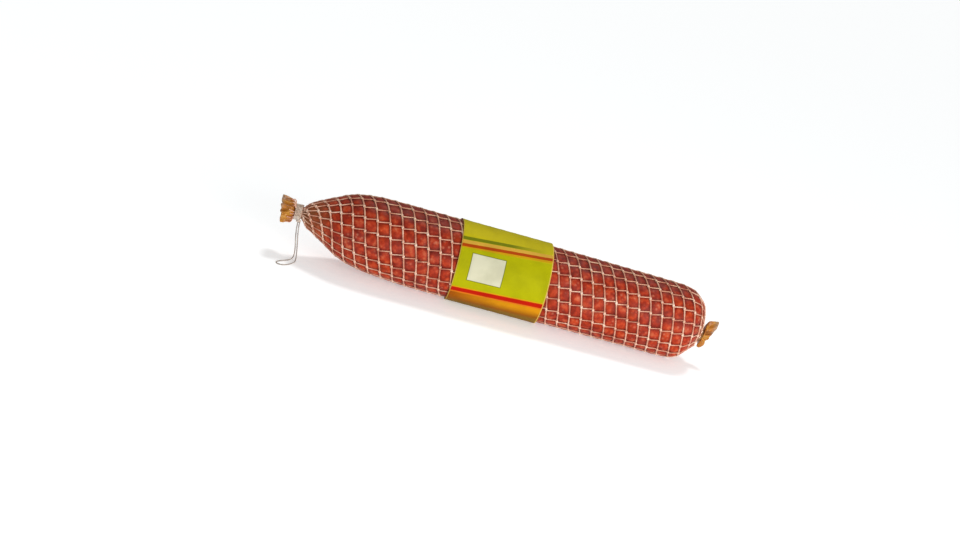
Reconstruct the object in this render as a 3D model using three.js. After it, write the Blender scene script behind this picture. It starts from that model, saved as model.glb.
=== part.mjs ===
// Whole cured sausage in a stretch net, with a paper label band and a twine hanging loop.
// It lies on its slightly flattened underside, as a dry sausage does after hanging and packing.
// Millimetres, +Z up. The length runs along X with the hung end at -X; the origin is on the
// surface that the sausage rests on, under the middle of its length.
import * as THREE from 'three';
import { mergeVertices } from 'three/addons/utils/BufferGeometryUtils.js';

// Casing: half outline as [distance along the length, radius], from tail tip to tail tip.
const CASING_OUTLINE = [
  [-262.4, 0], [-263.8, 7], [-268.2, 12.4], [-268.8, 13.9],    // dished, flared tail
  [-266, 14.1], [-262, 12.9], [-258.4, 9.4],
  [-255.6, 6.2], [-243.2, 6.2], [-239.8, 9.6], [-236.2, 13.8], // hung neck
  [-228, 18.6], [-209, 28.8], [-195, 36.3], [-180, 41.2],      // long tapered shoulder
  [-160, 44.5], [-130, 46.2], [-90, 46.9], [-72, 46.9],
  [-64, 46.9], [0, 46.4], [64, 45.9], [72, 45.8],              // barrel, under and past the label
  [150, 45.4], [205, 45.2], [221.3, 44.8], [229, 44],
  [235.2, 42.1], [240.5, 39], [244.9, 34.9],                   // blunt far end
  [249.2, 29.9], [252.6, 24.6], [255.1, 18.6],
  [256.4, 12.8], [257, 8.8], [257.8, 6.2], [259, 5], [261.8, 5],            // far neck
  [263.4, 8.6], [265.2, 13.8], [267.2, 16.4], [269.2, 16.6], [270.4, 15], [269.8, 0], // far tail
];
const SIDES = 32;             // facets around the sausage

// How the axis runs: nearly level, rising to the hung neck and dropping to the far tail.
const AXIS_HEIGHT = 47.3;
const AXIS_SLOPE = -0.0075;
const BEND_START_X = -100;
const BEND_LENGTH = 115;
const HUNG_NECK_X = -245;
const NECK_RISE = 3.5;
const TAIL_DROOP_SLOPE = 0.07;
const FAR_DROP = -8;
const FAR_DROP_START_X = 248;
const FAR_NECK_X = 260;

// How the ends lean: the top of the blunt end, and of each tail, reaches further out than its foot.
const FAR_LEAN = 0.12;        // distance along the length for each unit of height above the axis
const FAR_LEAN_FROM_X = 225;
const FAR_LEAN_TO_X = 256;
const FAN_LEAN = 0.18;        // added to it over the far tail
const HUNG_LEAN = -0.15;
const HUNG_LEAN_FROM_X = -258;
const HUNG_LEAN_TO_X = -266;

// The far tail is pressed flat into an upright fan.
const FAN_START_X = 262;
const FAN_END_X = 266;
const FAN_FLATNESS = 0.17;

// Net: a knitted sleeve, drawn as one thin skin as thick as its threads.
const GAP = 0.3;              // clearance between pieces that touch
const NET_THICKNESS = 1.2;
const NET_FIRST_POINT = 6;    // outline points where the net starts and ends
const NET_LAST_POINT = 37;

// Label: a paper strip rolled around the barrel a little askew, ends lapped at the back.
const LABEL_X = 0;
const LABEL_WIDTH = 112;
const LABEL_LAP = 14;
const LABEL_LAP_TURN = 35;    // arc by which the lap lies below the middle of the back
const LABEL_THICKNESS = 0.5;
const LABEL_INNER_RADIUS = 49.3;
const LABEL_SKEW = THREE.MathUtils.degToRad(1.8);
const LABEL_RAMP = 10;        // length over which the outer end climbs onto the inner one
const LABEL_RECESS = [-72, -64, 64, 72];   // the underside steps up here to pass over the label

// Twine: wound around both necks, and left long as the hanging loop.
const TWINE_DIAMETER = 1.5;
const HUNG_TIE = { x: -249, width: 10.4, inner: 8.1, outer: 9.9 };
const FAR_TIE = { x: 260.7, width: 2.2, inner: 6.9, outer: 8.5 };
const TIE_SIDES = 24;
const LOOP_STEPS = 46;
const LOOP_ROUTE = [
  [-246.2, -5, 43.05], [-246.1, -6.8, 39], [-245.5, -8, 33], [-244.4, -9.1, 26.6],
  [-243, -10.2, 20.2], [-241.6, -11.8, 14], [-240.6, -14.3, 8.4], [-240.6, -17.8, 4.1],
  [-242.2, -22, 1.6], [-245.2, -26.5, 0.85], [-249.2, -31, 0.8], [-253.4, -35.4, 0.8],
  [-257, -39.9, 0.8], [-259, -44.6, 0.8], [-257.2, -48.4, 0.8], [-253, -48.8, 0.8],
  [-248.5, -46, 0.8], [-244.5, -41.6, 0.8], [-241.3, -36.6, 0.8], [-239, -31.4, 0.8],
  [-237.6, -26.2, 0.9], [-237.2, -21.4, 1.9], [-237.5, -17.5, 4.8], [-238.3, -14.4, 9.4],
  [-239.5, -12, 15], [-240.8, -10.4, 21], [-242.1, -9.2, 27.2], [-243.2, -8, 33.4],
  [-243.9, -6.7, 39], [-244.1, -5, 43.05],
];

const smooth = THREE.MathUtils.smoothstep;

// Height of the sausage's axis above the surface at a place along its length.
function axisHeight(x) {
  const bend = THREE.MathUtils.clamp((BEND_START_X - x) / BEND_LENGTH, 0, 1);
  const rise = NECK_RISE * bend ** 1.3;
  const droop = Math.max(0, HUNG_NECK_X - x) * TAIL_DROOP_SLOPE;
  const drop = FAR_DROP * smooth(x, FAR_DROP_START_X, FAR_NECK_X);
  return AXIS_HEIGHT + AXIS_SLOPE * x + rise - droop + drop;
}

// Where a point at a place along the length, so far above the axis, comes to lie in a leaning end.
function leant(x, rise) {
  const hung = HUNG_LEAN * smooth(-x, -HUNG_LEAN_FROM_X, -HUNG_LEAN_TO_X);
  const blunt = FAR_LEAN * smooth(x, FAR_LEAN_FROM_X, FAR_LEAN_TO_X);
  const fan = FAN_LEAN * smooth(x, FAN_START_X, FAN_END_X);
  return x + (hung + blunt + fan) * rise;
}

// Lowest point that each layer may reach: the underside is pressed flat, layer on layer.
function netUnderside(x) {
  const [a, b, c, d] = LABEL_RECESS;
  return (LABEL_THICKNESS + GAP) * smooth(x, a, b) * (1 - smooth(x, c, d));
}

const casingUnderside = (x) => netUnderside(x) + NET_THICKNESS + 2 * GAP;

// Casing outline moved outwards by a distance, as points for a lathe.
function outline(first, last, distance) {
  const points = CASING_OUTLINE.map(([x, radius]) => new THREE.Vector2(radius, x));
  const outward = (i) => {
    const along = points[i + 1].clone().sub(points[i]).normalize();
    return new THREE.Vector2(along.y, -along.x);
  };
  const result = [];
  for (let i = first; i <= last; i += 1) {
    const point = points[i].clone();
    if (distance > 0) {
      const before = outward(i - 1);
      const after = outward(i);
      const mitre = before.clone().add(after).divideScalar(1 + before.dot(after));
      point.addScaledVector(mitre, distance);
    }
    result.push(point);
  }
  return result;
}

// Turn a profile about the length, then move each point by a rule of its own.
function turned(profile, sides, place) {
  const geometry = new THREE.LatheGeometry(profile, sides);
  geometry.rotateZ(-Math.PI / 2);
  return placed(geometry, place);
}

function placed(geometry, place) {
  geometry.deleteAttribute('normal');
  geometry.deleteAttribute('uv');
  const merged = mergeVertices(geometry, 1e-4);
  const position = merged.attributes.position;
  const point = new THREE.Vector3();
  for (let i = 0; i < position.count; i += 1) {
    point.fromBufferAttribute(position, i);
    place(point);
    position.setXYZ(i, point.x, point.y, point.z);
  }
  merged.computeVertexNormals();
  return merged;
}

function piece(name, geometry, colour, roughness) {
  const material = new THREE.MeshStandardMaterial({ color: colour, roughness, metalness: 0 });
  const mesh = new THREE.Mesh(geometry, material);
  mesh.name = name;
  return mesh;
}

// Sausage: minced meat cured inside one casing, gathered into a short tail at each end.
function sausageGeometry() {
  const profile = outline(0, CASING_OUTLINE.length - 1, 0);
  return turned(profile, SIDES, (point) => {
    const flat = smooth(point.x, FAN_START_X, FAN_END_X);
    const x = leant(point.x, point.z);
    const z = Math.max(point.z + axisHeight(point.x), casingUnderside(point.x));
    point.set(x, point.y * (1 - (1 - FAN_FLATNESS) * flat), z);
  });
}

// Netting: open at both ends, gathered under the ties, with a short frill over the hung tail.
function nettingGeometry() {
  const inner = outline(NET_FIRST_POINT, NET_LAST_POINT, GAP);
  const outer = outline(NET_FIRST_POINT, NET_LAST_POINT, GAP + NET_THICKNESS);
  const profile = [...outer, ...inner.reverse(), outer[0].clone()];
  return turned(profile, SIDES, (point) => {
    const middle = axisHeight(point.x);
    const fromAxis = Math.hypot(point.y, point.z);
    const depth = fromAxis > netMidRadius(point.x) ? 0 : NET_THICKNESS;
    const z = Math.max(point.z + middle, netUnderside(point.x) + depth);
    point.set(leant(point.x, point.z), point.y, z);
  });
}

// Radius halfway through the net's thickness: it tells the net's outer face from its inner one.
function netMidRadius(x) {
  const barrel = CASING_OUTLINE.slice(NET_FIRST_POINT, NET_LAST_POINT);
  const after = barrel.findIndex(([at]) => at >= x);
  const [x1, r1] = barrel[Math.max(after, 1)];
  const [x0, r0] = barrel[Math.max(after, 1) - 1];
  const radius = r0 + (r1 - r0) * (x - x0) / (x1 - x0);
  return radius + GAP + NET_THICKNESS / 2;
}

function tieGeometry({ x, width, inner, outer }) {
  const half = width / 2;
  const round = (outer - inner) / 3;
  const profile = [
    new THREE.Vector2(inner, x - half),
    new THREE.Vector2(outer - round, x - half),
    new THREE.Vector2(outer, x - half + round),
    new THREE.Vector2(outer, x + half - round),
    new THREE.Vector2(outer - round, x + half),
    new THREE.Vector2(inner, x + half),
    new THREE.Vector2(inner, x - half),
  ];
  return turned(profile, TIE_SIDES, (point) => {
    point.set(leant(point.x, point.z), point.y, point.z + axisHeight(point.x));
  });
}

// Label band: the flat strip is turned by the skew, then rolled from the back over the front.
function labelGeometry() {
  const turn = 2 * Math.PI * LABEL_INNER_RADIUS;
  const length = turn + LABEL_LAP;
  const lapStart = turn * Math.cos(LABEL_SKEW) - length / 2 - LABEL_LAP_TURN;
  const strip = new THREE.BoxGeometry(length, LABEL_WIDTH, LABEL_THICKNESS, 48, 4, 1);
  strip.translate(-LABEL_LAP_TURN, 0, 0);
  return placed(strip, (point) => {
    const depth = LABEL_THICKNESS / 2 - point.z;
    const lift = (LABEL_THICKNESS + GAP) * smooth(point.x, lapStart - LABEL_RAMP, lapStart - 1);
    const around = point.x * Math.cos(LABEL_SKEW) - point.y * Math.sin(LABEL_SKEW);
    const along = point.x * Math.sin(LABEL_SKEW) + point.y * Math.cos(LABEL_SKEW);
    const angle = around / LABEL_INNER_RADIUS;
    const radius = LABEL_INNER_RADIUS + LABEL_THICKNESS - depth + lift;
    const x = LABEL_X + along;
    const z = axisHeight(LABEL_X) - radius * Math.sin(angle);
    point.set(x, -radius * Math.cos(angle), Math.max(z, depth));
  });
}

// Hanging loop: one length of twine, out of the tie, around the loop and back into the tie.
function loopGeometry() {
  const route = new THREE.CatmullRomCurve3(LOOP_ROUTE.map((p) => new THREE.Vector3(...p)));
  const section = new THREE.Shape();
  for (let i = 0; i < 8; i += 1) {
    const angle = i * Math.PI / 4;
    const x = Math.cos(angle) * TWINE_DIAMETER / 2;
    const y = Math.sin(angle) * TWINE_DIAMETER / 2;
    if (i === 0) section.moveTo(x, y);
    else section.lineTo(x, y);
  }
  section.closePath();
  return new THREE.ExtrudeGeometry(section, { steps: LOOP_STEPS, extrudePath: route });
}

const sausage = new THREE.Group();
sausage.add(
  piece('sausage', sausageGeometry(), '#a8402e', 0.45),
  piece('netting', nettingGeometry(), '#e8b89c', 0.8),
  piece('label_band', labelGeometry(), '#b6b412', 0.5),
  piece('hung_end_tie', tieGeometry(HUNG_TIE), '#cfc6ba', 0.85),
  piece('far_end_tie', tieGeometry(FAR_TIE), '#cfc6ba', 0.85),
  piece('hanging_loop', loopGeometry(), '#cfc9c6', 0.85),
);

export default sausage;
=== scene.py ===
import math

import bmesh
import bpy
import numpy as np
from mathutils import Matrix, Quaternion, Vector, noise


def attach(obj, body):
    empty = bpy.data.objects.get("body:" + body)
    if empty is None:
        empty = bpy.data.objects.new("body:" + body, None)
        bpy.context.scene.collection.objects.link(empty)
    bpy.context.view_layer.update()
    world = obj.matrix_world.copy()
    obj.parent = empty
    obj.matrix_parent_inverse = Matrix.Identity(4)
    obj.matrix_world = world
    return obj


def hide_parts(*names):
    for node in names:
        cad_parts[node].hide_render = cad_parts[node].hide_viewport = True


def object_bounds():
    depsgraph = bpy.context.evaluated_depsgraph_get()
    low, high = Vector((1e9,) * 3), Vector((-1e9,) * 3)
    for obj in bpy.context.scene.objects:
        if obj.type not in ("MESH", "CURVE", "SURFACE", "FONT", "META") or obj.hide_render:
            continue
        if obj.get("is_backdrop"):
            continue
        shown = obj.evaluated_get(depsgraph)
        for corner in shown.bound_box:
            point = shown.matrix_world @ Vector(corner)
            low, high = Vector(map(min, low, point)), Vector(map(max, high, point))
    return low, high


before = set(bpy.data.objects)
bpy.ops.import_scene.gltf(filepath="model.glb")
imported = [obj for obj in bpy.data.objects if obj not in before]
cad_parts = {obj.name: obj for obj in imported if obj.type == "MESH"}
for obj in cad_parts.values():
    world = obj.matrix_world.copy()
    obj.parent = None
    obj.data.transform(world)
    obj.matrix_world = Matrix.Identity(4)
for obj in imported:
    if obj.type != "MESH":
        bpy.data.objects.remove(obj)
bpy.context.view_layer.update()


# Camera
# A long lens on a tripod, a little towards the hung end and well above the table. It is rolled,
# so that the sausage, which lies level, runs down to the right.
VIEW_AZIMUTH = math.radians(-8)
VIEW_ELEVATION = math.radians(18)
VIEW_ROLL = math.radians(17.8)
VIEW_DISTANCE = 2.2
VIEW_LENS = 68.9
VIEW_AIM = (-0.0216, 0, 0.0425)

view_back = Vector((
    math.sin(VIEW_AZIMUTH) * math.cos(VIEW_ELEVATION),
    -math.cos(VIEW_AZIMUTH) * math.cos(VIEW_ELEVATION),
    math.sin(VIEW_ELEVATION),
))
camera = bpy.data.objects.new("camera", bpy.data.cameras.new("camera"))
bpy.context.scene.collection.objects.link(camera)
camera.data.lens = VIEW_LENS
camera.data.clip_start = 0.05
camera.data.clip_end = 50
camera.location = Vector(VIEW_AIM) + view_back * VIEW_DISTANCE
camera.rotation_mode = "QUATERNION"
level = (-view_back).to_track_quat("-Z", "Y")
camera.rotation_quaternion = level @ Quaternion((0, 0, 1), VIEW_ROLL)
bpy.context.scene.camera = camera


# Hanging loop
# Thin three-ply cotton twine, left long when the neck was tied off. It drops from the tie to the
# table and lies there as an open loop, both ends held under the windings.
MM = 0.001               # meshes are in metres; real sizes are given in millimetres
TWINE_DIAMETER = 1.5
TWINE_TWIST = 5.5        # length of one turn of the twist
TWINE_PLIES = 3
PLY_MIDDLE = 0.88        # radius of the lobed section, as a share of the outer one
PLY_SWELL = 0.14         # how far each ply swells it
SECTION_POINTS = 12
JOIN_DISTANCE = 0.00001  # the caps join the tube where their points lie this close
LOOP_ROUTE = [
    (-246.2, -5, 43.05), (-246.1, -6.8, 39), (-245.5, -8, 33), (-244.4, -9.1, 26.6),
    (-243, -10.2, 20.2), (-241.6, -11.8, 14), (-240.6, -14.3, 8.4), (-240.6, -17.8, 4.1),
    (-242.2, -22, 1.6), (-245.2, -26.5, 0.85), (-249.2, -31, 0.8), (-253.4, -35.4, 0.8),
    (-257, -39.9, 0.8), (-259, -44.6, 0.8), (-257.2, -48.4, 0.8), (-253, -48.8, 0.8),
    (-248.5, -46, 0.8), (-244.5, -41.6, 0.8), (-241.3, -36.6, 0.8), (-239, -31.4, 0.8),
    (-237.6, -26.2, 0.9), (-237.2, -21.4, 1.9), (-237.5, -17.5, 4.8), (-238.3, -14.4, 9.4),
    (-239.5, -12, 15), (-240.8, -10.4, 21), (-242.1, -9.2, 27.2), (-243.2, -8, 33.4),
    (-243.9, -6.7, 39), (-244.1, -5, 43.05),
]


def lengths_along(points):
    """Length of the line up to each of its points."""
    steps = np.linalg.norm(np.diff(points, axis=0), axis=1)
    return np.concatenate([[0], np.cumsum(steps)])


def smooth_line(points, spacing):
    """Points spaced evenly along a smooth line through the given ones."""
    given = np.array(points, float)
    chord = lengths_along(given)
    slope = np.gradient(given, chord, axis=0)
    at = np.linspace(0, chord[-1], 40 * len(given))
    i = np.clip(np.searchsorted(chord, at, side="right") - 1, 0, len(given) - 2)
    step = (chord[i + 1] - chord[i])[:, None]
    t = (at - chord[i])[:, None] / step
    line = (
        given[i] * (1 + 2 * t) * (1 - t) ** 2
        + given[i + 1] * t * t * (3 - 2 * t)
        + slope[i] * step * t * (1 - t) ** 2
        - slope[i + 1] * step * t * t * (1 - t)
    )
    length = lengths_along(line)
    even = np.linspace(0, length[-1], max(2, round(length[-1] / spacing) + 1))
    return np.column_stack([np.interp(even, length, values) for values in line.T])


def new_object(name, data):
    obj = bpy.data.objects.new(name, data)
    bpy.context.scene.collection.objects.link(obj)
    return obj


def curve_through(name, lines, tilts=None, cyclic=False):
    """A curve with one polyline through each list of points, in metres."""
    curve = bpy.data.curves.new(name, "CURVE")
    curve.dimensions = "3D"
    curve.use_fill_caps = True
    for i, points in enumerate(lines):
        spline = curve.splines.new("POLY")
        spline.points.add(len(points) - 1)
        with_weight = np.column_stack([points, np.ones(len(points))])
        spline.points.foreach_set("co", with_weight.ravel())
        spline.use_cyclic_u = cyclic
        if tilts is not None:
            spline.points.foreach_set("tilt", tilts[i])
    return curve


def twisted(name, route):
    """A mesh of plied twine along a route in millimetres: a lobed section, turned as it goes."""
    spacing = TWINE_DIAMETER / 3
    line = smooth_line(route, spacing) * MM
    turn = np.arange(len(line)) * spacing / TWINE_TWIST * 2 * math.pi
    around = np.linspace(0, 2 * math.pi, SECTION_POINTS, endpoint=False)
    lobed = TWINE_DIAMETER / 2 * (PLY_MIDDLE + PLY_SWELL * np.cos(TWINE_PLIES * around)) * MM
    section = np.column_stack([lobed * np.cos(around), lobed * np.sin(around), 0 * around])
    profile = new_object("section", curve_through("section", [section], cyclic=True))
    curve = curve_through(name, [line], [turn])
    curve.bevel_mode = "OBJECT"
    curve.bevel_object = profile
    drawn = new_object(name, curve)
    swept = drawn.evaluated_get(bpy.context.evaluated_depsgraph_get())
    mesh = bpy.data.meshes.new_from_object(swept)
    bpy.data.objects.remove(drawn)
    bpy.data.objects.remove(profile)
    bm = bmesh.new()
    bm.from_mesh(mesh)
    bmesh.ops.remove_doubles(bm, verts=bm.verts, dist=JOIN_DISTANCE)
    bmesh.ops.recalc_face_normals(bm, faces=bm.faces)
    bm.to_mesh(mesh)
    bm.free()
    mesh.name = name
    mesh.shade_smooth()
    return new_object(name, mesh), line


def linear(code):
    """An sRGB hex colour as linear RGBA."""
    parts = [int(code[i:i + 2], 16) / 255 for i in (1, 3, 5)]
    return (*[c / 12.92 if c < 0.04045 else ((c + 0.055) / 1.055) ** 2.4 for c in parts], 1)


def node(tree, kind, inputs=(), **settings):
    """Adds a shader node; inputs maps a socket to a value or to the output that feeds it."""
    made = tree.nodes.new("ShaderNode" + kind)
    for key, value in settings.items():
        setattr(made, key, value)
    for socket, value in dict(inputs).items():
        if isinstance(value, bpy.types.NodeSocket):
            tree.links.new(value, made.inputs[socket])
        else:
            made.inputs[socket].default_value = value
    return made


def material(name, **values):
    """A new material with a Principled BSDF, whose values are set on its own sockets."""
    made = bpy.data.materials.new(name)
    made.use_nodes = True
    tree = made.node_tree
    tree.nodes.clear()
    surface = node(tree, "BsdfPrincipled", {k.replace("_", " "): v for k, v in values.items()})
    node(tree, "OutputMaterial", {"Surface": surface.outputs[0]})
    return made, tree, surface


def object_place(tree):
    return node(tree, "TexCoord").outputs["Object"]


def noise_at(tree, where, size_mm, detail=3, stretch=(1, 1, 1)):
    """Noise whose features are about size_mm across, times stretch along each axis."""
    scale = [1 / (size_mm * MM * s) for s in stretch]
    mapped = node(tree, "Mapping", {"Vector": where, "Scale": scale}).outputs[0]
    return node(tree, "TexNoise", {"Vector": mapped, "Scale": 1, "Detail": detail}).outputs[0]


def ramp_of(tree, value, *stops):
    """A colour ramp with the given (position, hex colour) stops."""
    made = node(tree, "ValToRGB", {"Fac": value})
    bar = made.color_ramp.elements
    while len(bar) < len(stops):
        bar.new(1)
    for element, (at, code) in zip(bar, stops):
        element.position = at
        element.color = linear(code)
    return made.outputs["Color"]


def mixed(tree, how, amount, first, second):
    """Two colours blended the given way; the amount may be a number or an output."""
    made = node(tree, "Mix", {0: amount, 6: first, 7: second}, data_type="RGBA", blend_type=how)
    return made.outputs[2]


def colour_surface(tree, surface, colour, height, strength, distance_mm):
    """Feeds a surface its colour, and its relief from a height pattern."""
    tree.links.new(colour, surface.inputs["Base Color"])
    bump = node(
        tree, "Bump", {"Strength": strength, "Distance": distance_mm * MM, "Height": height})
    tree.links.new(bump.outputs[0], surface.inputs["Normal"])


def finish_piece(obj, paint, replaces=()):
    """Gives a piece its material, the body it rides on and the CAD nodes it stands for."""
    obj.data.materials.clear()
    obj.data.materials.append(paint)
    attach(obj, "root")
    if replaces:
        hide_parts(*replaces)


def twine_paint(name, *stops):
    """Cotton twine: soiled unevenly in the given colours, with short fibres."""
    paint, tree, surface = material(name, Roughness=0.85, Sheen_Weight=0.25)
    place = object_place(tree)
    soil = ramp_of(tree, noise_at(tree, place, 7), *stops)
    fibre = noise_at(tree, place, 0.35)
    shade = ramp_of(tree, fibre, (0.3, "#c9c6c2"), (0.6, "#ffffff"))
    colour_surface(tree, surface, mixed(tree, "MULTIPLY", 1.0, soil, shade), fibre, 0.5, 0.1)
    return paint


# Undyed cotton, three plies laid together: dull, off-white, grey where it has been handled, with
# short fibres that catch the light.
twine = twine_paint(
    "twisted_cotton_twine", (0.32, "#94867d"), (0.5, "#b9ada3"), (0.72, "#d8cfc5"))

loop, loop_line = twisted("hanging_loop_twine", LOOP_ROUTE)
finish_piece(loop, twine, ["hanging_loop"])


# Stuffed casing
# Minced cured meat in one collagen casing. It tapers to the hung neck and ends blunt at the far
# neck; the net presses it into shallow pillows, and its own weight has flattened the underside.
CASING_OUTLINE = [       # distance along the length and radius, in millimetres
    (-258.4, 9.4), (-255.6, 6.4), (-243.2, 6.2), (-239.8, 9.6), (-236.2, 13.8), (-228, 18.6),
    (-209, 28.8), (-195, 36.3), (-180, 41.2), (-160, 44.5), (-130, 46.2), (-90, 46.9),
    (-64, 46.9), (0, 46.4), (64, 45.9), (150, 45.4), (205, 45.2), (221.3, 44.8), (229, 44),
    (235.2, 42.1), (240.5, 39), (244.9, 34.9), (249.2, 29.9), (252.6, 24.6), (255.1, 18.6),
    (256.4, 12.8), (257.1, 8.6), (258.1, 5.8), (259.4, 5), (262.4, 5.3),
]
MEAT_START_X = -256      # the tail beyond it is empty casing
CASING_STEPS = 160
CASING_SPACING = 2

AXIS_HEIGHT = 47.3       # at the middle of the length
AXIS_FALL = 0.0075       # slope towards the far end, where the barrel is thinner
HUNG_RISE = 3.5          # the axis rises to the hung neck
HUNG_RISE_FROM = -100
HUNG_RISE_LENGTH = 115
HUNG_RISE_POWER = 1.3
HUNG_NECK_X = -245
TAIL_DROOP = 0.07        # slope at which the hung tail droops beyond its neck
FAR_DROP = 8             # the far neck and its tail lie this far below the axis
FAR_DROP_SPAN = (248, 260)
FAR_LEAN, FAR_LEAN_SPAN = 0.12, (225, 256)       # how the ends lean outwards at the top, and
FAN_LEAN, FAN_LEAN_SPAN = 0.18, (262, 266.8)     # where each lean comes in
HUNG_LEAN, HUNG_LEAN_SPAN = 0.15, (258, 266)

UNDERSIDE = 1.35         # height of the flattened underside of the casing
LABEL_REACH = 62         # the underside steps up over the label, which ends about here
LABEL_STEP = 0.35
LABEL_STEP_LENGTH = 8
PILLOW_HEIGHT = 1.3      # from the creases under the threads to the middle of a cell
PILLOW_POWER = 0.6       # below 1, so that a pillow is flat on top and steep at its edges
PILLOW_SPAN = (7, 26)    # radii between which the pillows fade out into the necks
CREASE_DEPTH = 0.5       # how far the threads press into the plain outline
LUMP_HEIGHT = 0.35       # of the coarse meat under the casing
LUMP_SIZES = (26, 9)

casing_line = smooth_line(CASING_OUTLINE, 1)
casing_x, casing_r = casing_line.T
casing_u = np.arange(len(casing_line)) * np.linalg.norm(casing_line[1] - casing_line[0])
casing_along = np.gradient(casing_line, axis=0)
casing_along /= np.linalg.norm(casing_along, axis=1)[:, None]
CASING_LENGTH = casing_u[-1]


def ramp(x, low, high):
    """0 below low, 1 above high, and a smooth rise between."""
    t = np.clip((x - low) / (high - low), 0, 1)
    return t * t * (3 - 2 * t)


def axis_height(x):
    """Height of the sausage's axis: it rises to the hung neck and drops to the far tail."""
    share = np.clip((HUNG_RISE_FROM - x) / HUNG_RISE_LENGTH, 0, 1)
    rise = HUNG_RISE * share ** HUNG_RISE_POWER
    droop = TAIL_DROOP * np.maximum(0, HUNG_NECK_X - x)
    return AXIS_HEIGHT - AXIS_FALL * x + rise - droop - FAR_DROP * ramp(x, *FAR_DROP_SPAN)


def leant(x, rise):
    """Where a point at x, so far above the axis, comes to lie: both ends lean outwards."""
    slope = (
        FAR_LEAN * ramp(x, *FAR_LEAN_SPAN)
        + FAN_LEAN * ramp(x, *FAN_LEAN_SPAN)
        - HUNG_LEAN * ramp(-x, *HUNG_LEAN_SPAN)
    )
    return x + slope * rise


def on_casing(u, angle, lift=0.0, lowest=0.1):
    """Points over the casing, in metres: u along its outline, angle down from the front."""
    along_x = np.interp(u, casing_u, casing_along[:, 0])
    along_r = np.interp(u, casing_u, casing_along[:, 1])
    x = np.interp(u, casing_u, casing_x) - along_r * lift
    radius = np.interp(u, casing_u, casing_r) + along_x * lift
    rise = -radius * np.sin(angle)
    z = axis_height(x) + rise
    over_label = 1 - ramp(np.abs(x), LABEL_REACH, LABEL_REACH + LABEL_STEP_LENGTH)
    floor = np.maximum(UNDERSIDE + LABEL_STEP * over_label - lift, lowest)
    return np.column_stack([leant(x, rise), -radius * np.cos(angle), np.maximum(z, floor)]) * MM


# The net's pattern, which the pillows follow
NET_ROWS = 18            # threads along the length
NET_STARTS = 5           # cross threads run round as this many helices
NET_CELL = 14.6          # mean spacing of the cross threads along the outline
NET_WIDENING = 0.05      # how much wider apart they lie towards the hung end
NET_STEP = 3.2           # how far a link climbs from one cross thread to the next
NET_CELLS = CASING_LENGTH / NET_CELL
NET_CLIMB = NET_STEP / 48            # the same as an angle round the barrel
NET_DRIFT = 2.4          # how far threads wander along the length
NET_SWAY = 0.045         # and around it, in radians
WANDER_LENGTH = 70       # length over which they wander
WANDER_ROUND = 0.9
SWAY_PLACE = Vector((7, 3, 5))       # so that the sway differs from the drift


def cells_along(u):
    """Cross threads passed up to u."""
    share = u / CASING_LENGTH
    return NET_CELLS * (share + NET_WIDENING * share * (share - 1))


def u_at(cells):
    """Place along the outline after so many cells, looked up in a fine table."""
    table = np.linspace(0, CASING_LENGTH, 600)
    return np.interp(cells, cells_along(table), table)


def unevenness(u, angle):
    """How far the stretched net is pulled off its regular pattern, along and around."""
    spots = np.column_stack([
        u / WANDER_LENGTH, np.cos(angle) * WANDER_ROUND, np.sin(angle) * WANDER_ROUND])
    along = np.array([noise.noise(Vector(p)) for p in spots])
    around = np.array([noise.noise(Vector(p) + SWAY_PLACE) for p in spots])
    return NET_DRIFT * along, NET_SWAY * around


def pillow_at(u, angle):
    """0 under the threads and 1 in the middle of a cell."""
    along, around = unevenness(u, angle)
    hoop = cells_along(u - along) - NET_STARTS * (angle - around) / (2 * math.pi)
    across = hoop - np.floor(hoop)
    row = (angle - around - NET_CLIMB / 2 + NET_CLIMB * across) * NET_ROWS / (2 * math.pi)
    return (np.sin(np.pi * across) * np.abs(np.sin(np.pi * row))) ** PILLOW_POWER


def places_of(mesh):
    place = np.empty(len(mesh.vertices) * 3, np.float32)
    mesh.vertices.foreach_get("co", place)
    return place.reshape(-1, 3).astype(float)


def spun(outline, steps, name, spacing):
    """A closed mesh turned about the length from an outline in millimetres; also its places."""
    profile = smooth_line(outline, spacing)
    bm = bmesh.new()
    line = [bm.verts.new((x, 0, max(r, 0))) for x, r in profile]
    edges = [bm.edges.new(pair) for pair in zip(line, line[1:])]
    bmesh.ops.spin(
        bm, geom=[*line, *edges], cent=(0, 0, 0), axis=(1, 0, 0), dvec=(0, 0, 0),
        angle=2 * math.pi, steps=steps, use_merge=True, use_duplicate=False,
    )
    bmesh.ops.remove_doubles(bm, verts=bm.verts, dist=0.001)
    bmesh.ops.holes_fill(bm, edges=[e for e in bm.edges if e.is_boundary], sides=0)
    bmesh.ops.recalc_face_normals(bm, faces=bm.faces)
    mesh = bpy.data.meshes.new(name)
    bm.to_mesh(mesh)
    bm.free()
    return mesh, places_of(mesh)


def rounded(place):
    """Radius about the length, and angle down from the front, of a spun mesh's places."""
    return np.hypot(place[:, 1], place[:, 2]), np.arctan2(-place[:, 2], -place[:, 1])


def put(mesh, place):
    """Moves a mesh's vertices to places in metres and links it as an object."""
    mesh.vertices.foreach_set("co", place.astype(np.float32).ravel())
    mesh.update()
    mesh.shade_smooth()
    return new_object(mesh.name, mesh)


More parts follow.
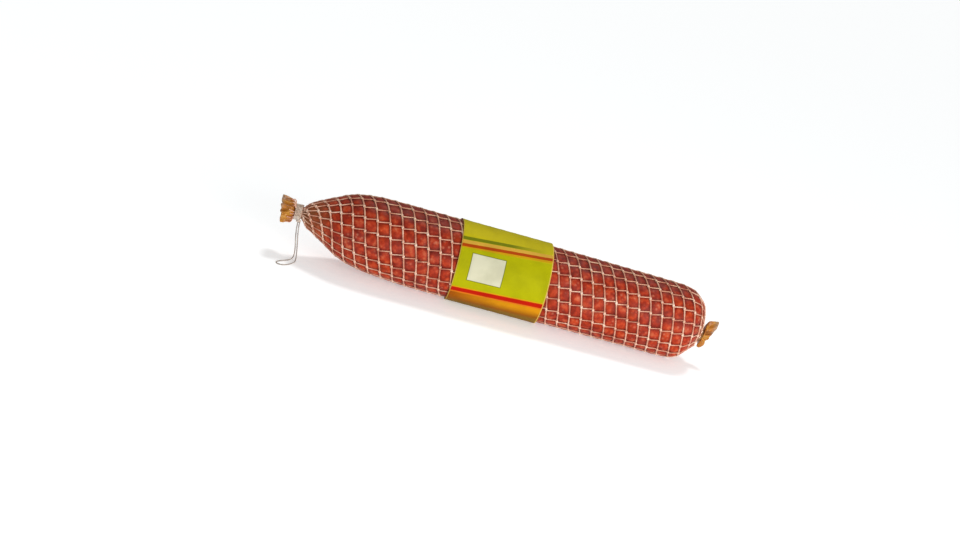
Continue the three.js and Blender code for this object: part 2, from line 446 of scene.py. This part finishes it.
stuffed = [point for point in CASING_OUTLINE if point[0] > MEAT_START_X]
mesh, place = spun(stuffed, CASING_STEPS, "stuffed_casing", CASING_SPACING)
u = np.interp(place[:, 0], casing_x, casing_u)
radius, angle = rounded(place)
full = ramp(radius, *PILLOW_SPAN)
pillow = pillow_at(u, angle)
coarse, fine = LUMP_SIZES
lumps = np.array([
    noise.noise(Vector(p) / coarse) + 0.5 * noise.noise(Vector(p) / fine) for p in place])
crease = mesh.attributes.new("crease", "FLOAT", "POINT")
crease.data.foreach_set("value", (1 - pillow).astype(np.float32))
lift = (PILLOW_HEIGHT * pillow - CREASE_DEPTH) * full + LUMP_HEIGHT * lumps * full
casing = put(mesh, on_casing(u, angle, lift))


def fitted(tree, value, low, high, to_low=0.0, to_high=1.0):
    """A value's range from low to high stretched to another one, clamped."""
    made = node(tree, "MapRange", {0: value, 1: low, 2: high, 3: to_low, 4: to_high})
    return made.outputs[0]


def maths(tree, operation, *values):
    made = node(tree, "Math", enumerate(values), operation=operation)
    return made.outputs[0]


def painted_shade_on_top(tree, place, colour, code):
    """A colour multiplied by the given one along the uppermost side, as painted shade on the top.
    """
    height = node(tree, "SeparateXYZ", {0: place}).outputs[2]
    return mixed(tree, "MULTIPLY", fitted(tree, height, 0.078, 0.093), colour, linear(code))


# Collagen casing, tight and satin over coarse-ground meat: deep and orange reds in grains of a few
# millimetres and pale specks of fat showing through. Painted shade darkens the creases under the
# net and the uppermost side.
FAT_SPACING = 5.2
DRY_ENDS = ((-0.19, -0.222), (0.26, 0.272))      # where each end browns, towards its neck

skin, tree, surface = material(
    "collagen_casing_over_meat", Roughness=0.5, Specular_IOR_Level=0.12)
place = object_place(tree)
grain = noise_at(tree, place, 7, 4)
lean = ramp_of(
    tree, grain, (0.3, "#5e140a"), (0.44, "#8c2714"), (0.56, "#b63c1e"), (0.7, "#d06c44"))
batch = ramp_of(
    tree, noise_at(tree, place, 34, 2), (0.34, "#94382c"), (0.5, "#a02c12"), (0.64, "#bc4010"))
colour = mixed(tree, "MIX", 0.42, lean, batch)
fat = node(tree, "TexVoronoi", {"Vector": place, "Scale": 1 / (FAT_SPACING * MM), "Randomness": 1})
speck = fitted(tree, fat.outputs["Distance"], 0.16, 0.38, 0.55, 0)
patchy = fitted(tree, noise_at(tree, place, 15, 2), 0.42, 0.62)
colour = mixed(tree, "MIX", maths(tree, "MULTIPLY", speck, patchy), colour, linear("#c4775c"))
# Painted shade: the casing is darker in the creases under the threads, where shadow falls.
crease_for_painted_shade = node(tree, "Attribute", attribute_name="crease").outputs["Fac"]
shade = ramp_of(tree, crease_for_painted_shade, (0.2, "#ffffff"), (0.85, "#a87868"))
colour = mixed(tree, "MULTIPLY", 1.0, colour, shade)
place_x = node(tree, "SeparateXYZ", {0: place}).outputs[0]
uneven_x = maths(tree, "MULTIPLY_ADD", grain, 0.03, place_x)
for start, end in DRY_ENDS:
    dry = fitted(tree, uneven_x, start, end, 0, 0.9)
    colour = mixed(tree, "MIX", dry, colour, linear("#7a4a26"))
# Painted shade: darker along the uppermost side, which turns away from the light.
colour = painted_shade_on_top(tree, place, colour, "#c6aea0")
wrinkle = noise_at(tree, place, 1.6, 4, (4, 1, 1))
colour_surface(tree, surface, colour, maths(tree, "ADD", wrinkle, grain), 0.5, 0.5)
finish_piece(casing, skin, ["sausage"])


# Netting
# One knitted stretch sleeve of cotton-covered elastic. Cross threads run round as helices and
# chain-stitched rows run along, climbing across each cell and stepping back at each crossing.
THREAD_RADIUS = 0.9
ROW_RADIUS = 0.68
THREAD_LIFT = 0.3        # how far the middle of a cross thread lies above the casing's outline
THREAD_STEPS = 110       # points to each turn of a cross thread
FIRST_CELL = 0.45        # where the cross threads start, and how far short of the end they stop
LAST_CELL = 0.3
KNOT_LIFT = 0.75         # a row rides over each crossing
LINK = ((0.0, KNOT_LIFT), (0.12, 0.4), (0.37, 0.3), (0.63, 0.3), (0.88, 0.4), (1.0, KNOT_LIFT))
KNOT_SIZE = (1.7, 2.3, 1.15)         # half sizes along the length, around it and outwards
KNOT_SEAT = 0.5          # height of the middle of a knot
KNOT_LOWEST = 0.0001     # the table, in metres


def on_net(cells, angle, lift):
    """A place in the net's own pattern, carried by its unevenness, on the casing."""
    u = u_at(cells)
    along, around = unevenness(u, angle)
    u = np.clip(u + along, 0, CASING_LENGTH)
    return on_casing(u, angle + around, lift, THREAD_RADIUS + 0.05)


def tubes(name, lines, radius):
    """Round thread along each of the given lines."""
    curve = curve_through(name, lines)
    curve.bevel_depth = radius * MM
    curve.bevel_resolution = 1
    return new_object(name, curve)


helices = []
turns = NET_CELLS / NET_STARTS
for start in range(NET_STARTS):
    angle = np.linspace(
        -turns * 2 * math.pi, turns * 2 * math.pi, round(turns * 2 * THREAD_STEPS))
    cells = start + NET_STARTS * angle / (2 * math.pi)
    keep = (cells > FIRST_CELL) & (cells < NET_CELLS - LAST_CELL)
    helices.append(on_net(cells[keep], angle[keep], THREAD_LIFT))
cross_threads = tubes("net_cross_threads", helices, THREAD_RADIUS)

rows, knots = [], []
for k in range(NET_ROWS):
    middle = 2 * math.pi * k / NET_ROWS
    cells, angles, lifts = [], [], []
    for j in range(-NET_STARTS - 1, int(NET_CELLS) + NET_STARTS + 2):
        for share, high in LINK:
            angle = middle + NET_CLIMB * (0.5 - share)
            cells.append(j + share + NET_STARTS * angle / (2 * math.pi))
            angles.append(angle)
            lifts.append(high)
        knots.append((j + NET_STARTS * middle / (2 * math.pi), middle))
    cells, angles, lifts = map(np.array, (cells, angles, lifts))
    keep = (cells > 0) & (cells < NET_CELLS)
    rows.append(on_net(cells[keep], angles[keep], lifts[keep]))
long_threads = tubes("net_long_threads", rows, ROW_RADIUS)

# Knots: the chain stitch locks each row to each cross thread with a small tight lump
knots = np.array([k for k in knots if 1 < k[0] < NET_CELLS - 1])
centres = on_net(knots[:, 0], knots[:, 1], KNOT_SEAT)
ahead = on_net(knots[:, 0] + 0.05, knots[:, 1], KNOT_SEAT)
above = on_net(knots[:, 0], knots[:, 1], KNOT_SEAT + 1)
bm = bmesh.new()
for centre, beyond, over in zip(centres, ahead, above):
    along = Vector(beyond - centre).normalized()
    out = Vector(over - centre)
    underneath = out.length <= 1e-5          # pressed flat on the table, so it points down
    out = Vector((0, 0, -1)) if underneath else (out - out.dot(along) * along).normalized()
    side = out.cross(along).normalized()
    for vert in bmesh.ops.create_icosphere(bm, subdivisions=1, radius=1)["verts"]:
        a, b, c = vert.co
        vert.co = Vector(centre) + MM * (
            KNOT_SIZE[0] * a * along + KNOT_SIZE[1] * b * side + KNOT_SIZE[2] * c * out)
        vert.co.z = max(vert.co.z, KNOT_LOWEST)
mesh = bpy.data.meshes.new("net_knots")
bm.to_mesh(mesh)
bm.free()
mesh.shade_smooth()
net_knots = new_object("net_knots", mesh)


def knitted_paint(name, *stops):
    """Knitted cotton stained in the given colours, with a fine twist."""
    paint, tree, surface = material(name, Roughness=0.75, Sheen_Weight=0.2)
    place = object_place(tree)
    stain = ramp_of(tree, noise_at(tree, place, 14, 3), *stops)
    yarn = noise_at(tree, place, 0.6, 2)
    shade = ramp_of(tree, yarn, (0.3, "#c8b4aa"), (0.6, "#ffffff"))
    # Painted shade: the threads are darker along the uppermost side, which turns away from the
    # light.
    colour = painted_shade_on_top(tree, place, mixed(tree, "MULTIPLY", 1.0, stain, shade), "#f0e8da")
    colour_surface(tree, surface, colour, yarn, 0.6, 0.2)
    return paint


# Cotton and elastic yarn, knitted: dull and pale, stained pink-beige by the meat, greasy and
# darker in places, with a fine twist that is drawn coarser than it is so that it shows. The
# knots stand off the meat and have stayed cleaner.
cotton = knitted_paint(
    "knitted_cotton_net_thread", (0.32, "#bf7458"), (0.5, "#e2a284"), (0.66, "#f5cdb2"))
clean_cotton = knitted_paint(
    "chain_stitched_cotton_knot", (0.32, "#e4b294"), (0.5, "#f5cfb4"), (0.66, "#fde4d0"))
finish_piece(cross_threads, cotton, ["netting"])
finish_piece(long_threads, cotton)
finish_piece(net_knots, clean_cotton)


# Label band
# One printed paper strip, rolled once around the barrel over the net, a little askew, with its
# ends lapped and glued low at the back. The net below shows as a faint relief.
LABEL_WIDTH = 112
LABEL_LAP = 14
LABEL_LAP_TURN = 35      # arc by which the lap lies below the middle of the back
LABEL_RADIUS = 49
LABEL_SKEW = math.radians(1.8)
LABEL_GRID = (180, 60)
PAPER_THICKNESS = 0.16
LAP_LIFT = 0.35          # the upper end rides over the lower one
LAP_EASE = (-10, -1)     # where it climbs, before the start of the lap
TABLE_GAP = 0.2          # lowest the paper comes to the table, and how much more at the lap
LAP_TABLE_GAP = 0.25
RELIEF = 0.22            # of the net's threads under the paper
LOOSE_EDGE = (44, 56)    # distance from the middle line over which an edge stands off
LOOSE_LIFT = 0.9
CURL_AROUND = 1.3        # how fast the looseness varies around the barrel and along it
CURL_LENGTH = 45
CURL_BIAS = 0.15

label_turn = 2 * math.pi * LABEL_RADIUS
label_length = label_turn + LABEL_LAP
bm = bmesh.new()
bm.loops.layers.uv.new("UVMap")
bmesh.ops.create_grid(
    bm, x_segments=LABEL_GRID[0], y_segments=LABEL_GRID[1], size=0.5, calc_uvs=True)
mesh = bpy.data.meshes.new("paper_label")
bm.to_mesh(mesh)
bm.free()
place = places_of(mesh)
across = place[:, 0] * label_length - LABEL_LAP_TURN
width = place[:, 1] * LABEL_WIDTH
around = across * math.cos(LABEL_SKEW) - width * math.sin(LABEL_SKEW)
along = across * math.sin(LABEL_SKEW) + width * math.cos(LABEL_SKEW)
angle = around / LABEL_RADIUS
lap_start = label_turn * math.cos(LABEL_SKEW) - label_length / 2 - LABEL_LAP_TURN
lapped = ramp(across, lap_start + LAP_EASE[0], lap_start + LAP_EASE[1])
relief = RELIEF * (1 - pillow_at(np.interp(along, casing_x, casing_u), angle))
curl = np.array([
    noise.noise(Vector((a * CURL_AROUND, w / CURL_LENGTH, 2))) for a, w in zip(angle, width)])
loose = ramp(np.abs(width), *LOOSE_EDGE) * np.maximum(0, curl + CURL_BIAS)
radius = LABEL_RADIUS + relief + LOOSE_LIFT * loose + LAP_LIFT * lapped
z = np.maximum(axis_height(0) - radius * np.sin(angle), TABLE_GAP + LAP_TABLE_GAP * lapped)
label = put(mesh, np.column_stack([along, -radius * np.cos(angle), z]) * MM)
paper_body = label.modifiers.new("thickness", "SOLIDIFY")
paper_body.thickness = PAPER_THICKNESS * MM
paper_body.offset = 0

# Coated paper, offset printed: flat bright inks under a thin satin varnish, faint paper fibre. The
# stripes run at a slight slant across the strip; the panel is left without any words or mark.
LIME = "#aaa804"
PAINTED_TOP_SHEEN_AND_SHADE = "#bcae0a"                    # painted sheen and shade: the upper field turns a warmer green, fading out at the back
PAINTED_TOP_START = (-118, -78)
DARK_GREEN = "#6e7404"
RED = "#b81a04"
ORANGE = "#d18c0b"
STRIPES = [              # where each colour starts and ends, down from the front middle
    (-52.6, -48, DARK_GREEN), (-47.6, -43, "#cc9e38"), (-43, -38.9, "#aa4208"),
    (-38.9, -36.2, "#c4940e"), (-36.2, 12.6, LIME), (12.6, 14, "#cf9812"), (14, 20.2, RED),
    (20.2, 22.2, "#d8701a"), (22.2, 66, ORANGE), (66, 70.5, RED), (70.5, 200, LIME),
]
UPPER_SLANT = math.tan(math.radians(4.3))
LOWER_SLANT = math.tan(math.radians(2.6))
PRINT_SOFTNESS = 0.25    # half the width of a printed edge
GREEN_FADE = (5, 45)                 # where the green line fades out along the strip
DEEP_ORANGE = "#9c4d02"              # the orange field at the strip's hung side
DEEP_ORANGE_FADE = (-56, 5)
ORANGE_PAINTED_SHADE = ((27, 38, "#965806"), (38, 45, "#85641a"))   # painted shade: how it darkens downwards, towards the underside
PANEL_PLACE = (-13, -20)             # down from the front middle, and along
PANEL_HALF = (17, 21)
PANEL_RULE = 0.9
BARE_PAPER = "#cfccb0"
TRIM = (1.1, 0.9)                    # the cut edges show as a thin worn line
WORN_EDGE = "#d2b050"

paper, tree, surface = material(
    "varnished_printed_paper", Roughness=0.55, Specular_IOR_Level=0.05)
flat = node(tree, "UVMap", uv_map="UVMap").outputs[0]
sized = node(tree, "Mapping", {
    "Vector": flat, "Scale": (label_length, LABEL_WIDTH, 1),
    "Location": (-label_length / 2 - LABEL_LAP_TURN, -LABEL_WIDTH / 2, 0),
}).outputs[0]
down_label, along_label, _ = node(tree, "SeparateXYZ", {0: sized}).outputs


def between(value, start, end):
    """1 from start to end and 0 elsewhere, with the slightly soft edges of print."""
    begun = fitted(tree, value, start - PRINT_SOFTNESS, start + PRINT_SOFTNESS)
    ended = fitted(tree, value, end - PRINT_SOFTNESS, end + PRINT_SOFTNESS, 1, 0)
    return maths(tree, "MULTIPLY", begun, ended)


upper = maths(tree, "MULTIPLY_ADD", along_label, UPPER_SLANT, down_label)
lower = maths(tree, "MULTIPLY_ADD", along_label, LOWER_SLANT, down_label)
# Printed colours, with painted sheen and shade: the lime turns a warmer green over the top of the
# barrel.
print_and_painted_shade = mixed(tree, "MIX", fitted(tree, upper, *PAINTED_TOP_START), linear(LIME), linear(PAINTED_TOP_SHEEN_AND_SHADE))
for start, end, code in STRIPES:
    down = upper if end < 0 else lower
    shown = between(down, start, end)
    colour = linear(code)
    if code == DARK_GREEN:
        fading = fitted(tree, along_label, *GREEN_FADE, 1, 0)
        shown = maths(tree, "MULTIPLY", shown, fading)
    if code == ORANGE:
        lit = fitted(tree, along_label, *DEEP_ORANGE_FADE)
        colour = mixed(tree, "MIX", lit, linear(DEEP_ORANGE), colour)
        # Painted shade: the orange field darkens towards the underside of the barrel.
        for dark_from, dark_to, dark in ORANGE_PAINTED_SHADE:
            painted_shade_amount = fitted(tree, down, dark_from, dark_to)
            colour = mixed(tree, "MIX", painted_shade_amount, colour, linear(dark))
    print_and_painted_shade = mixed(tree, "MIX", shown, print_and_painted_shade, colour)


def vector_maths(operation, *values):
    made = node(tree, "VectorMath", enumerate(values), operation=operation)
    return made.outputs[0]


# A blank ruled panel of bare paper, to write the weight and price on
moved = vector_maths("SUBTRACT", sized, (*PANEL_PLACE, 0))
past = vector_maths("SUBTRACT", vector_maths("ABSOLUTE", moved), (*PANEL_HALF, 0))
past_down, past_along, _ = node(tree, "SeparateXYZ", {0: past}).outputs
edge = maths(tree, "MAXIMUM", past_down, past_along)
for inset, code in ((0, DARK_GREEN), (PANEL_RULE, BARE_PAPER)):
    inside = fitted(tree, edge, -inset - 0.2, -inset + 0.2, 1, 0)
    print_and_painted_shade = mixed(tree, "MIX", inside, print_and_painted_shade, linear(code))

off_middle = maths(tree, "ABSOLUTE", along_label)
trimmed = fitted(tree, off_middle, LABEL_WIDTH / 2 - TRIM[0], LABEL_WIDTH / 2 - TRIM[1])
print_and_painted_shade = mixed(tree, "MIX", trimmed, print_and_painted_shade, linear(WORN_EDGE))
place = object_place(tree)
worn = ramp_of(tree, noise_at(tree, place, 25, 3), (0.35, "#efefec"), (0.6, "#ffffff"))
print_and_painted_shade = mixed(tree, "MULTIPLY", 1.0, print_and_painted_shade, worn)
colour_surface(tree, surface, print_and_painted_shade, noise_at(tree, place, 0.9, 3), 0.15, 0.1)
finish_piece(label, paper, ["label_band"])


# Ties
# Twine wound tight around each neck over the casing and the gathered net. The hung end has
# several turns and a knot where the loop leaves; the far end has two turns.
WINDING_STEPS = 28       # points to each turn
KNOT_ROUTE = [           # along the length, degrees down from the front, distance from the axis
    (-249.1, 8, 10.1), (-247.8, 22, 10.7), (-246.5, 38, 11.2), (-245.2, 52, 11.3),
    (-243.9, 62, 10.6), (-243.8, 76, 10.4), (-245.4, 82, 10.7), (-247, 72, 10.7),
    (-248, 56, 11.6), (-247, 40, 12.4), (-245.2, 34, 12.2), (-243.8, 42, 11.2),
    (-243.6, 56, 10.8), (-244.8, 68, 11.6), (-246.4, 76, 11.2), (-248, 86, 10.3),
]


def wound(start, end, radius, turns, first):
    """A route wound around the neck, from one place along it to another."""
    t = np.linspace(0, 1, round(turns * WINDING_STEPS))
    angle = first + 2 * math.pi * turns * t
    x = start + (end - start) * t
    rise = -radius * np.sin(angle)
    return np.column_stack([leant(x, rise), -radius * np.cos(angle), axis_height(x) + rise])


def round_axis(x, down, radius):
    """A point at x, turned down from the front, so far from the axis; in millimetres."""
    return x, -radius * math.cos(down), float(axis_height(x)) - radius * math.sin(down)


# The same twine, wetted and stained by the curing, so beige rather than grey.
stained_twine = twine_paint(
    "stained_cotton_twine", (0.32, "#c0a28c"), (0.5, "#dec6b2"), (0.72, "#f0e2d2"))
hung_route = wound(start=-253.5, end=-244.5, radius=9.05, turns=5.6, first=0.6)
hung_tie, _ = twisted("hung_end_windings", hung_route)
finish_piece(hung_tie, stained_twine, ["hung_end_tie"])

knot_route = [round_axis(x, math.radians(down), radius) for x, down, radius in KNOT_ROUTE]
neck_knot, _ = twisted("neck_knot", knot_route)
finish_piece(neck_knot, stained_twine)

# The far tie hung lowest, where the juices ran to, so it has dried brown.
brown_twine = twine_paint(
    "brown_stained_cotton_twine", (0.32, "#7a5024"), (0.5, "#96682e"), (0.72, "#ac8040"))
far_route = wound(start=259.9, end=261.4, radius=7.3, turns=2, first=2.0)
far_tie, _ = twisted("far_end_windings", far_route)
finish_piece(far_tie, brown_twine, ["far_end_tie"])


# Hung tail
# The same collagen casing, empty beyond the tie, gathered into pleats and dried hard. It flares
# into a dished, ragged mouth, and the net's cut ends splay over its root.
HUNG_TAIL = [
    (-253.6, 7), (-254.5, 8.6), (-255.4, 11.4), (-257.4, 12.8), (-261, 13.4), (-266, 13.9),
    (-268.8, 13.8), (-268.8, 12.4), (-266.8, 10.2), (-264.6, 6.5), (-263.2, 3), (-262.6, 0),
]
TAIL_SPACING = 0.8
HUNG_TAIL_STEPS = 132
PLEATS = 11
PLEAT_DEPTH = (0.05, 0.08)           # share of the radius at the root, and added at the mouth
FOLD_DEPTH = 0.22                    # larger uneven folds
FOLD_TURN = 2.2                      # how fast they vary around the tail and along it
FOLD_LENGTH = 14
RAGGED = 2.2                         # how far the cut rim wanders

mesh, place = spun(HUNG_TAIL, HUNG_TAIL_STEPS, "hung_tail", TAIL_SPACING)
x = place[:, 0]
radius, angle = rounded(place)
out = ramp(-x, 255, 266)
fold = np.array([
    noise.noise(Vector((FOLD_TURN * math.cos(a), FOLD_TURN * math.sin(a), v / FOLD_LENGTH)))
    for a, v in zip(angle, x)])
pleat = np.cos(PLEATS * angle + 5 * fold) * (PLEAT_DEPTH[0] + PLEAT_DEPTH[1] * out)
crimp = pleat + FOLD_DEPTH * fold * out
ragged = RAGGED * np.array([
    noise.noise(Vector((3 * math.cos(a), 3 * math.sin(a), 4))) for a in angle])
radius = radius * (1 + crimp) * (1 - 0.03 * out)
x += ragged * ramp(-x, 260, 268)
rise = -radius * np.sin(angle)
hung_tail = put(mesh, np.column_stack([
    leant(x, rise), -radius * np.cos(angle), axis_height(x) + rise]) * MM)

# The net's cut ends, splayed out of the tie over the root of the tail
NET_ENDS = 18
NET_END_PATH = ((-253.4, 8.3), (-255, 12.2), (-257.4, 13.7), (-260, 14.2))
NET_END_RADIUS = 0.6
NET_END_ROOT = NET_END_PATH[0][0]

ends = []
for k in range(NET_ENDS):
    down = 2 * math.pi * (k + 0.35 * math.sin(2.7 * k)) / NET_ENDS      # unevenly spaced
    reach = 0.75 + 0.4 * math.sin(1.9 * k)                              # and of uneven length
    strand = []
    for x, radius in NET_END_PATH:
        x = NET_END_ROOT + (x - NET_END_ROOT) * reach
        strand.append(round_axis(x, down + 0.02 * (x - NET_END_ROOT), radius))
    ends.append(smooth_line(strand, 0.7) * MM)
net_ends = tubes("net_ends", ends, NET_END_RADIUS)
finish_piece(net_ends, cotton)


# Far tail
# The casing's other empty end, pressed flat into a pleated fan against the blunt end.
FAR_TAIL = [
    (260, 4.5), (261.6, 5.4), (262, 9.4), (262.8, 13), (264.6, 15.4), (267.4, 16.6),
    (270.6, 16.9), (271.6, 15.8), (271.2, 9), (270.2, 4), (270, 0),
]
FAR_TAIL_STEPS = 140
FAN_FLATNESS = 0.17
FAN_CENTRE_X = 257       # its pleats spread from here
FAN_PLEATS = 12
FAN_PLEAT_DEPTH = 1.2
UPPER_WING_RISE = 4.5    # the fan's upper wing is the longer one

mesh, place = spun(FAR_TAIL, FAR_TAIL_STEPS, "far_tail", TAIL_SPACING)
x = place[:, 0]
radius, angle = rounded(place)
out = ramp(x, 261.4, 264)
y = -radius * np.cos(angle) * (1 - (1 - FAN_FLATNESS) * out)
rise = -radius * np.sin(angle)
spread = np.arctan2(rise, x - FAN_CENTRE_X)
rise += UPPER_WING_RISE * ramp(rise, 0, 9) * out
y += out * FAN_PLEAT_DEPTH * np.cos(FAN_PLEATS * spread + 2 * np.sin(3 * spread))
x += out * (0.5 * np.cos(FAN_PLEATS * spread + 1) + 0.8 * np.sin(3 * spread))
far_tail = put(mesh, np.column_stack([leant(x, rise), y, axis_height(x) + rise]) * MM)

# Dried collagen, stiff and translucent: amber where it is single and clean, deep orange-brown in
# the folds, grey-brown and frayed at the cut rim, with a hard low gloss.
TAILS_MIDDLE_X = 0.0025  # the rims of the two tails lie equally far from here
RIM_START, RIM_END = 0.269, 0.273

dried, tree, surface = material(
    "dried_collagen_tail", Roughness=0.38, Specular_IOR_Level=0.45, Subsurface_Weight=0.15,
    Subsurface_Radius=(0.004, 0.002, 0.001), Subsurface_Scale=0.4)
place = object_place(tree)
amber = ramp_of(
    tree, noise_at(tree, place, 6, 3, (2.5, 1, 1)), (0.32, "#7c4206"), (0.48, "#ae6a12"),
    (0.6, "#bc8122"), (0.75, "#c69a50"))
place_x = node(tree, "SeparateXYZ", {0: place}).outputs[0]
outward = maths(tree, "ABSOLUTE", maths(tree, "SUBTRACT", place_x, TAILS_MIDDLE_X))
frayed = maths(tree, "MULTIPLY", fitted(tree, outward, RIM_START, RIM_END), 0.6)
colour = mixed(tree, "MIX", frayed, amber, linear("#97826c"))
colour_surface(tree, surface, colour, noise_at(tree, place, 1.2, 4, (3, 1, 1)), 0.6, 0.5)
finish_piece(hung_tail, dried)
finish_piece(far_tail, dried)


# Floor and light
# A white sweep under even white light: a weak one overhead for the shadow on the table, and a
# broad soft one beside the camera, nearer to the far end.
FLOOR_REACH = 60         # metres each way, so that its edge lies out of sight

floor_mesh = bpy.data.meshes.new("floor")
bm = bmesh.new()
bmesh.ops.create_grid(bm, x_segments=1, y_segments=1, size=FLOOR_REACH)
bm.to_mesh(floor_mesh)
bm.free()
floor = new_object("floor", floor_mesh)
white, _, _ = material(
    "white_sweep", Roughness=0.95, Specular_IOR_Level=0.1, Base_Color=linear("#eff1f1"),
    Emission_Color=(0.985, 0.992, 1, 1), Emission_Strength=0.36)
floor_mesh.materials.append(white)
floor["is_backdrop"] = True

world = bpy.data.worlds.new("soft_white_room")
bpy.context.scene.world = world
world.use_nodes = True
world.node_tree.nodes["Background"].inputs["Color"].default_value = (1, 1, 1, 1)
world.node_tree.nodes["Background"].inputs["Strength"].default_value = 0.4


def light_towards(name, light, direction, location=(0, 0, 0)):
    placed = new_object(name, light)
    placed.location = location
    placed.rotation_mode = "QUATERNION"
    placed.rotation_quaternion = Vector(direction).to_track_quat("-Z", "Y")


overhead = bpy.data.lights.new("overhead", "SUN")
overhead.energy = 1.05
overhead.angle = math.radians(12)
light_towards("overhead", overhead, (-0.12, -0.42, -1))

front = bpy.data.lights.new("front", "AREA")
front.shape = "DISK"
front.size = 0.9
front.energy = 17
light_towards("front", front, (-0.75, 1.3, -0.33), (0.8, -1.3, 0.38))

bpy.context.scene.view_settings.view_transform = "Standard"

low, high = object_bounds()
